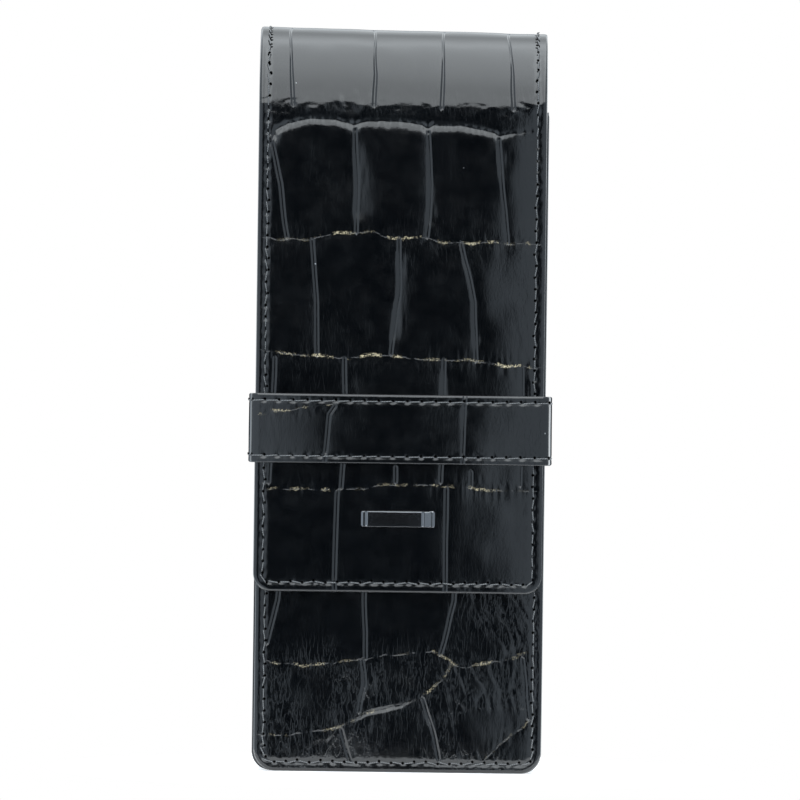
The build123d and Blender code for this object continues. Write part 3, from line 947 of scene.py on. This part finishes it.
def make_gusset():
    front, back = POCKET_FRONT, POCKET_BACK
    middle, reach = (front + back) / 2, (back - front) / 2

    def wall(inset, corner, start, count):
        """Section points from start to its mirror place, bowed inwards in the middle."""
        return [(inset + WALL_BOW * (1 - (y / reach) ** 2), corner, middle + y)
                for y in np.linspace(start, -start, count)]

    flange = [(0.3, 3.8, 0), (0.12, 3.9, 0.1), (0.12, 3.9, GUSSET - 0.1), (0.3, 3.8, GUSSET)]
    flange += [(WALL_INSET - 1.0 + sin(a), 3.0, GUSSET + 1 - cos(a)) for a in np.linspace(0, pi / 2, 5)]
    inside = WALL_INSET + GUSSET
    section = [(inset, corner, front + y) for inset, corner, y in flange[1:]]
    section += wall(WALL_INSET, 2.4, 2.6 - reach, 7)
    section += [(inset, corner, back - y) for inset, corner, y in reversed(flange)]
    section += [(inside, 2.0, back)] + wall(inside, 1.8, reach - 1.5, 7) + [(inside, 2.0, front)]
    section.append((0.3, 3.8, front))
    gusset = u_sweep("gusset_strip", section, MOUTH_Z - 0.1)
    dress(gusset, GUSSET_FINISH, "gusset_leather", "side_gusset")
    shell = wall(inside + 0.02, 1.8, 0.05 - reach, 11)
    shell += [(inset + CLOTH, 1.4, y) for inset, corner, y in reversed(shell)]
    cloth = u_sweep("gusset_cloth", shell, MOUTH_Z - 0.5)
    dress(cloth, CLOTH_FINISH, "gusset_cloth", "gusset_lining")


def make_divider(side):
    """A folded strip between two pen slots, with a glued flange at the front and at the back."""
    node_name = "divider_left" if side < 0 else "divider_right"
    (x_low, x_high), (z_low, z_high) = extent(node_name, 0), extent(node_name, 2)
    web, flange = (x_high, x_low) if side < 0 else (x_low, x_high)
    thick, bend = 0.8, 1.0
    tight = bend - thick
    front, back = POCKET_FRONT + 0.06, POCKET_BACK - 0.06
    quarter = [(1 - sin(a), 1 - cos(a)) for a in np.linspace(0, pi / 2, 6)]
    outer = [(flange, front)]
    outer += [(web + side * bend * p, front + bend * q) for p, q in quarter]
    outer += [(web + side * bend * q, back - bend * p) for p, q in quarter]
    outer += [(flange, back), (flange, back - thick)]
    outer += [(web + side * (thick + tight * q), back - thick - tight * p) for p, q in quarter[::-1]]
    outer += [(web + side * (thick + tight * p), front + thick + tight * q) for p, q in quarter[::-1]]
    outer += [(flange, front + thick)]
    x, y = np.array(outer).T
    from_middle = y - (front + back) / 2
    belly = 1 - (from_middle / ((back - front) / 2)) ** 2
    sections = []
    for z in np.concatenate([[z_low], np.linspace(z_low + 1, z_high - 0.2, 60), [z_high - 0.05, z_high]]):
        sway = 0.5 * sin(z / 17 + side) * (z - z_low) / (z_high - z_low)
        shrink = 0.15 if z >= z_high - 0.001 else 0.0
        closer = y - np.sign(from_middle) * shrink * (np.abs(from_middle) > 5)
        sections.append(np.stack([x + side * sway * belly, closer, np.full(len(x), z)], 1))
    piece = swept(node_name + "_strip", sections, body="pouch")
    dress(piece, DIVIDER_FINISH, "divider_leather", node_name)


# ---- Plate

def make_plate():
    """A pillowed metal bar with a line across it near each end, and two prongs through the leather."""
    (left, right), (low, high) = extent("name_plate", 0), extent("name_plate", 2)
    middle_z, half_z = (low + high) / 2, (high - low) / 2
    thick = FLAP_Y - extent("name_plate", 1)[0]
    ends = 0.45
    step = ends * (1 - np.cos(np.linspace(0, pi / 2, 6)[:-1]))
    u = np.linspace(-1, 1, 25)
    crown = 0.97 + 0.03 * (1 - u ** 2) - 0.3 * ramp(np.abs(u), 0.9, 1.0)
    sections = []
    for x in [*(left + step), *np.linspace(left + ends, right - ends, 120), *(right - step[::-1])]:
        inset = min(1.0, max(0.0, left + ends - x, x - right + ends) / ends)
        fall = ends * (1 - (1 - inset ** 2) ** 0.5)
        lines = bump(x - left - 1.15, 0.13) + bump(x - right + 2.6, 0.13) + 0.7 * bump(x - right + 0.9, 0.1)
        bow = 0.28 * ((x - left - right) / (right - left)) ** 2 + 0.06 * max(0.0, x - right + 2.6)
        depth = np.maximum(0.2, (thick - fall * 0.6 - bow) * crown) - 0.07 * lines * (np.abs(u) < 0.9)
        y = FLAP_Y + np.array([0.02, -0.25 * thick, *-depth, -0.25 * thick, 0.02])
        z = middle_z + (half_z - fall * 0.8) * np.array([-1, -1, *(0.985 * u), 1, 1])
        sections.append(np.stack([np.full(len(y), x), y, z], 1))
    plate = swept("metal_plate", sections, sharp=30)
    work = bmesh.new()
    work.from_mesh(plate.data)
    for side in (-1, 1):
        prong = bmesh.ops.create_cube(work, size=1.0)["verts"]
        bmesh.ops.scale(work, vec=(1.6 * MM, 1.4 * MM, 0.5 * MM), verts=prong)
        bmesh.ops.translate(work, vec=(side * 4.5 * MM, (FLAP_Y + 0.75) * MM, middle_z * MM), verts=prong)
    work.to_mesh(plate.data)
    work.free()
    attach(plate, "flap")
    dress(plate, PLATE_FINISH, "plate_metal", "name_plate")


# ---- Stitches

# The black discs painted as the shade of the needle holes lie this far past the stitch's end and above its
# path
HOLE_SHADE_BEYOND = 0.09
HOLE_SHADE_LIFT = 0.07
# Sizes of a stitch and of the black disc beside it, painted shade for the needle holes, the stitch's share of
# the pitch, and where its path lies
STITCH = {"Thickness": 0.28, "Rise": 0.3, "Sink": 0.12, "Hole shade": 0.3, "Aside": 0.2}
STITCH_SHARE = 0.86
PATH_DEPTH = 0.07
PATH_STEP = 0.4


def stitch_tree():
    """Geometry nodes that lay stitches along a path: each is a short arc of thread that dives in at both
    ends, with a flat disc beside it that the thread's material paints black: painted shade for the needle
    holes."""
    sizes = ("Length", "Thickness", "Rise", "Sink", "Slant", "Jitter", "Hole shade", "Aside")
    tree, given, result = group_of(
        "stitch_row", "GeometryNodeTree",
        {"Path": "Geometry", **dict.fromkeys(sizes, "Float"), "Count": "Int", "Seed": "Int",
         "Thread": "Material"}, {"Geometry": "Geometry"})

    def flows(kind, inputs=None, **settings):
        return flow(tree, kind, inputs, **settings)

    def stored(geometry, name, value, kind="FLOAT"):
        return flows("GeometryNodeStoreNamedAttribute", {"Geometry": geometry, "Name": name, "Value": value},
                     data_type=kind, domain="POINT")

    def recalled(name, kind="FLOAT"):
        made = node(tree, "GeometryNodeInputNamedAttribute", {"Name": name}, data_type=kind)
        return made.outputs["Attribute"]

    half = times(given["Length"], 0.5)
    sink = times(given["Sink"], -1.0)
    arc = flows("GeometryNodeCurveQuadraticBezier", {
        "Resolution": 6,
        "Start": flows("ShaderNodeCombineXYZ", {0: times(half, -1.0), 2: sink}),
        "Middle": flows("ShaderNodeCombineXYZ", {2: given["Rise"]}),
        "End": flows("ShaderNodeCombineXYZ", {0: half, 2: sink})})
    along = node(tree, "GeometryNodeSplineParameter").outputs["Factor"]
    thick = times(given["Thickness"], 0.5)
    profile = flows("GeometryNodeCurvePrimitiveCircle", {"Resolution": 7, "Radius": thick})
    tube = flows("GeometryNodeCurveToMesh", {
        "Fill Caps": True, "Curve": stored(arc, "ply_along", along),
        "Profile Curve": stored(profile, "ply_around", along)})
    # A flat disc beside each stitch, which the thread's material paints black as shade for the needle holes.
    disc = flows("GeometryNodeMeshCircle", {"Vertices": 8, "Radius": given["Hole shade"]},
                 fill_type="TRIANGLE_FAN")
    shift = flows("ShaderNodeCombineXYZ", {0: times_plus(given["Length"], 0.5, HOLE_SHADE_BEYOND * MM),
                                           1: given["Aside"], 2: HOLE_SHADE_LIFT * MM})
    hole_shade = flows("GeometryNodeTransform",
                 {"Geometry": stored(disc, "hole_shade_disc", 1.0), "Translation": shift})
    unit = node(tree, "GeometryNodeJoinGeometry", {"Geometry": hole_shade})
    feed(unit.inputs["Geometry"], tube)

    curve = flows("GeometryNodeMeshToCurve", {"Mesh": given["Path"]})
    points = flows("GeometryNodeResampleCurve", {"Curve": curve, "Count": given["Count"]}, mode="COUNT")
    upright = flows("FunctionNodeAlignRotationToVector", {"Vector": recalled("outward", "FLOAT_VECTOR")},
                    axis="Z")
    tangent = flows("GeometryNodeInputTangent")
    turned = flows("FunctionNodeAlignRotationToVector", {"Rotation": upright, "Vector": tangent},
                   axis="X", pivot_axis="Z")
    chance = node(tree, "FunctionNodeRandomValue", {"Min": -1.0, "Max": 1.0, "Seed": given["Seed"]},
                  data_type="FLOAT")
    value = next(s for s in chance.outputs if s.enabled and s.type == "VALUE")
    lean = flows("FunctionNodeAxisAngleToRotation",
                 {"Axis": (0, 0, 1), "Angle": times_plus(value, given["Jitter"], given["Slant"])})
    turned = flows("FunctionNodeRotateRotation", {"Rotation": turned, "Rotate By": lean},
                   rotation_space="LOCAL")
    laid = flows("GeometryNodeInstanceOnPoints",
                 {"Points": points, "Instance": unit.outputs[0], "Rotation": turned})
    row = flows("GeometryNodeRealizeInstances", {"Geometry": laid})
    parts = [recalled(name) for name in ("ply_along", "ply_around", "hole_shade_disc")]
    ply_and_hole_shade = flows("ShaderNodeCombineXYZ", dict(enumerate(parts)))
    row = flows("GeometryNodeSetShadeSmooth", {"Geometry": stored(row, "ply_and_hole_shade", ply_and_hole_shade, "FLOAT_VECTOR")})
    row = flows("GeometryNodeSetMaterial", {"Geometry": row, "Material": given["Thread"]})
    feed(result["Geometry"], row)
    return tree


STITCHES = stitch_tree()


def stitches(name, rows, place, pitch, slant=0.0, jitter=0.24, seed=1):
    """One piece with the stitches of some rows, each a path of sheet points laid on the case by place."""
    joined = bmesh.new()
    for number, row in enumerate(rows):
        cut, length = along_path(row, pitch)
        count = len(cut) - 1
        true_pitch = length / count
        keep = int(round(true_pitch / 2 / PATH_STEP))
        x, v = along_path(row, PATH_STEP)[0][keep:-keep].T
        points, outward = place(x, v, np.full(len(x), -PATH_DEPTH))
        mesh = bpy.data.meshes.new(name)
        mesh.from_pydata((points * MM).tolist(), [(k, k + 1) for k in range(len(points) - 1)], [])
        store(mesh, "outward", outward)
        piece = new_object(name, mesh)
        tool = piece.modifiers.new("stitches", "NODES")
        tool.node_group = STITCHES
        values = {key: size * MM for key, size in STITCH.items()}
        values.update({"Length": STITCH_SHARE * true_pitch * MM, "Slant": slant, "Jitter": jitter,
                       "Count": count, "Seed": seed + number, "Thread": THREAD_FINISH})
        for item in STITCHES.interface.items_tree:
            if item.in_out == "INPUT" and item.name in values:
                tool[item.identifier] = values[item.name]
        shown = piece.evaluated_get(bpy.context.evaluated_depsgraph_get())
        joined.from_mesh(bpy.data.meshes.new_from_object(shown))
        bpy.data.objects.remove(piece)
    mesh = bpy.data.meshes.new(name)
    joined.to_mesh(mesh)
    joined.free()
    mesh.shade_smooth()
    return new_object(name, mesh)


def lowered(place, fall):
    """The same placing, taken down by how far the sheet falls away."""
    return lambda x, v, lift: place(x, v, lift - fall(x, v))


def make_stitches():
    on_wrap, on_front, on_band = (lowered(place, fall) for place, fall in (
        (wrap_place, wrap_fall), (front_place, panel_fall), (band_place, band_fall)))
    flap = stitches("flap_stitches", [FLAP_SEAM], on_wrap, SEAM_PITCH, seed=3)
    dress(flap, THREAD_FINISH, "thread", "flap_stitching", "crown_stitching")
    back = stitches("back_stitches", [BACK_SEAM], on_wrap, SEAM_PITCH, seed=5)
    dress(back, THREAD_FINISH, "thread", "back_stitching")
    on_pouch = (on_front, SEAM_PITCH, 0.0, 0.24)
    neat = (on_band, BAND_PITCH, 0.04, 0.05)
    for number, (name, rows, manner, body) in enumerate((
            ("front", [PANEL_SEAM], on_pouch, "pouch"), ("mouth", [MOUTH_SEAM], on_pouch, "pouch"),
            ("band_top", [BAND_HIGH_SEAM], neat, "band"), ("band_bottom", [BAND_LOW_SEAM], neat, "band"),
            ("band_joint", [JOINT_LEFT, JOINT_RIGHT], neat, "band"))):
        piece = stitches(name + "_stitches", rows, *manner, seed=20 + 7 * number)
        dress(piece, THREAD_FINISH, "thread", name + "_stitching")
        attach(piece, body)
    return flap, back


# ---- Baking the wrap's pieces

def bend_back(piece):
    """Bakes the placing of a piece of the wrap's rear part into its mesh."""
    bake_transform(piece)


def bend_front(piece):
    """Bakes the placing of a piece of the wrap's front part into its mesh."""
    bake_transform(piece)


# ---- Stage

def make_stage():
    disc = bpy.data.meshes.new("floor")
    work = bmesh.new()
    bmesh.ops.create_circle(work, cap_ends=True, segments=96, radius=0.075)
    work.to_mesh(disc)
    work.free()
    floor = new_object("floor", disc)
    made = material("pale_floor", roughness=0.7)
    for label, value in (("Base Color", (0.86, 0.86, 0.86, 1)), ("Emission Color", (1, 1, 1, 1)),
                         ("Emission Strength", 0.35)):
        shader_inputs(made)[label].default_value = value
    disc.materials.append(made)


def make_light():
    """Soft surroundings: bright behind, a broad bright ceiling, faint sides in front, brighter sides that
    graze the hide from behind, and nearly dark straight in front."""
    world = bpy.data.worlds.new("studio")
    bpy.context.scene.world = world
    world.use_nodes = True
    tree = world.node_tree
    tree.nodes.clear()
    way = node(tree, "ShaderNodeTexCoord").outputs["Generated"]
    x, y, z = node(tree, "ShaderNodeSeparateXYZ", {0: way}).outputs
    aside = maths("ABSOLUTE", x)
    ceiling = times(grade(z, 0.115, 0.16), grade(y, 0.75, 0.25))
    ceiling = times(ceiling, grade(aside, 0.48, 0.2, 0.06, 1.0))
    ceiling = times(ceiling, grade(z, 0.3, 1.0, 2.45, 3.35))
    rear = times(grade(y, 0.3, 0.8), grade(z, 0.05, 0.4))
    behind = times(grade(y, 0.0, 0.3), grade(aside, 0.1, 0.35))
    ahead = grade(y, 0.2, -0.1)
    right = times(grade(x, 0.05, 0.10), ahead)
    left = times(times(grade(x, -0.06, -0.11), ahead), grade(x, -0.11, -0.2, 1.0, 1.6))
    low = grade(z, -0.04, -0.3)
    sides = plus(grade(x, 0.5, 0.8, 0.0, 1.7), grade(x, -0.5, -0.8, 0.0, 0.6))
    sheer = times(grade(y, 0.05, 0.3), sides)
    level = ceiling
    for part, strength in ((rear, 1.1), (right, 0.75), (left, 0.6), (low, 0.10), (behind, 0.45),
                           (sheer, 2.4)):
        level = times_plus(part, strength, level)
    level = plus(level, 0.006)
    pale = plus(plus(ceiling, rear), sheer, clamp=True)
    colour = mixed(pale, (0.76, 0.88, 1.0, 1), (0.90, 0.96, 1.0, 1))
    lit = flow(tree, "ShaderNodeBackground", {"Color": colour, "Strength": level})
    seen = flow(tree, "ShaderNodeBackground", {"Color": (1, 1, 1, 1)})
    by_camera = node(tree, "ShaderNodeLightPath").outputs["Is Camera Ray"]
    node(tree, "ShaderNodeOutputWorld", {"Surface": flow(tree, "ShaderNodeMixShader", {
        0: by_camera, 1: lit, 2: seen})})
    for name, place, power, size in (("key", (-0.5, -0.75, 1.0), 2.5, 0.5),
                                     ("fill", (0.9, -0.5, 0.5), 1.0, 0.4)):
        lamp = bpy.data.lights.new(name, "AREA")
        lamp.energy, lamp.size = power, size
        light = new_object(name, lamp)
        light.location = place
        light.visible_glossy = False
        aim = Vector((0, 0, 0.08)) - Vector(place)
        light.rotation_euler = aim.to_track_quat("-Z", "Y").to_euler()
    bpy.context.scene.view_settings.view_transform = "Standard"


DISTANCE = 1.6
VIEW_HEIGHT = 0.1725
ROLL = 0.75


def make_camera():
    eye = bpy.data.cameras.new("camera")
    eye.lens = eye.sensor_width / 2 / (VIEW_HEIGHT / 2 / DISTANCE)
    camera = new_object("camera", eye)
    camera.location = (0.0001, -DISTANCE, 0.0799)
    camera.rotation_euler = (pi / 2, 0, 0)
    camera.rotation_euler.rotate_axis("Z", radians(ROLL))
    bpy.context.scene.camera = camera


make_camera()
make_light()
make_stage()
flap_hide, back_hide = make_hides()
flap_lining, back_lining = make_linings()
flap_stitches, back_stitches = make_stitches()
make_gusset()
for side in (-1, 1):
    make_divider(side)
make_plate()
for name in ("back_board", "front_board", "flap_board", "plate_backer"):
    mesh = frame["nodes"][name].data
    mesh.materials.clear()
    mesh.materials.append(BACKER_FINISH if name == "plate_backer" else BOARD_FINISH)
for piece in (back_hide, back_lining, back_stitches):
    bend_back(piece)
for piece in (flap_hide, flap_lining, flap_stitches):
    bend_front(piece)
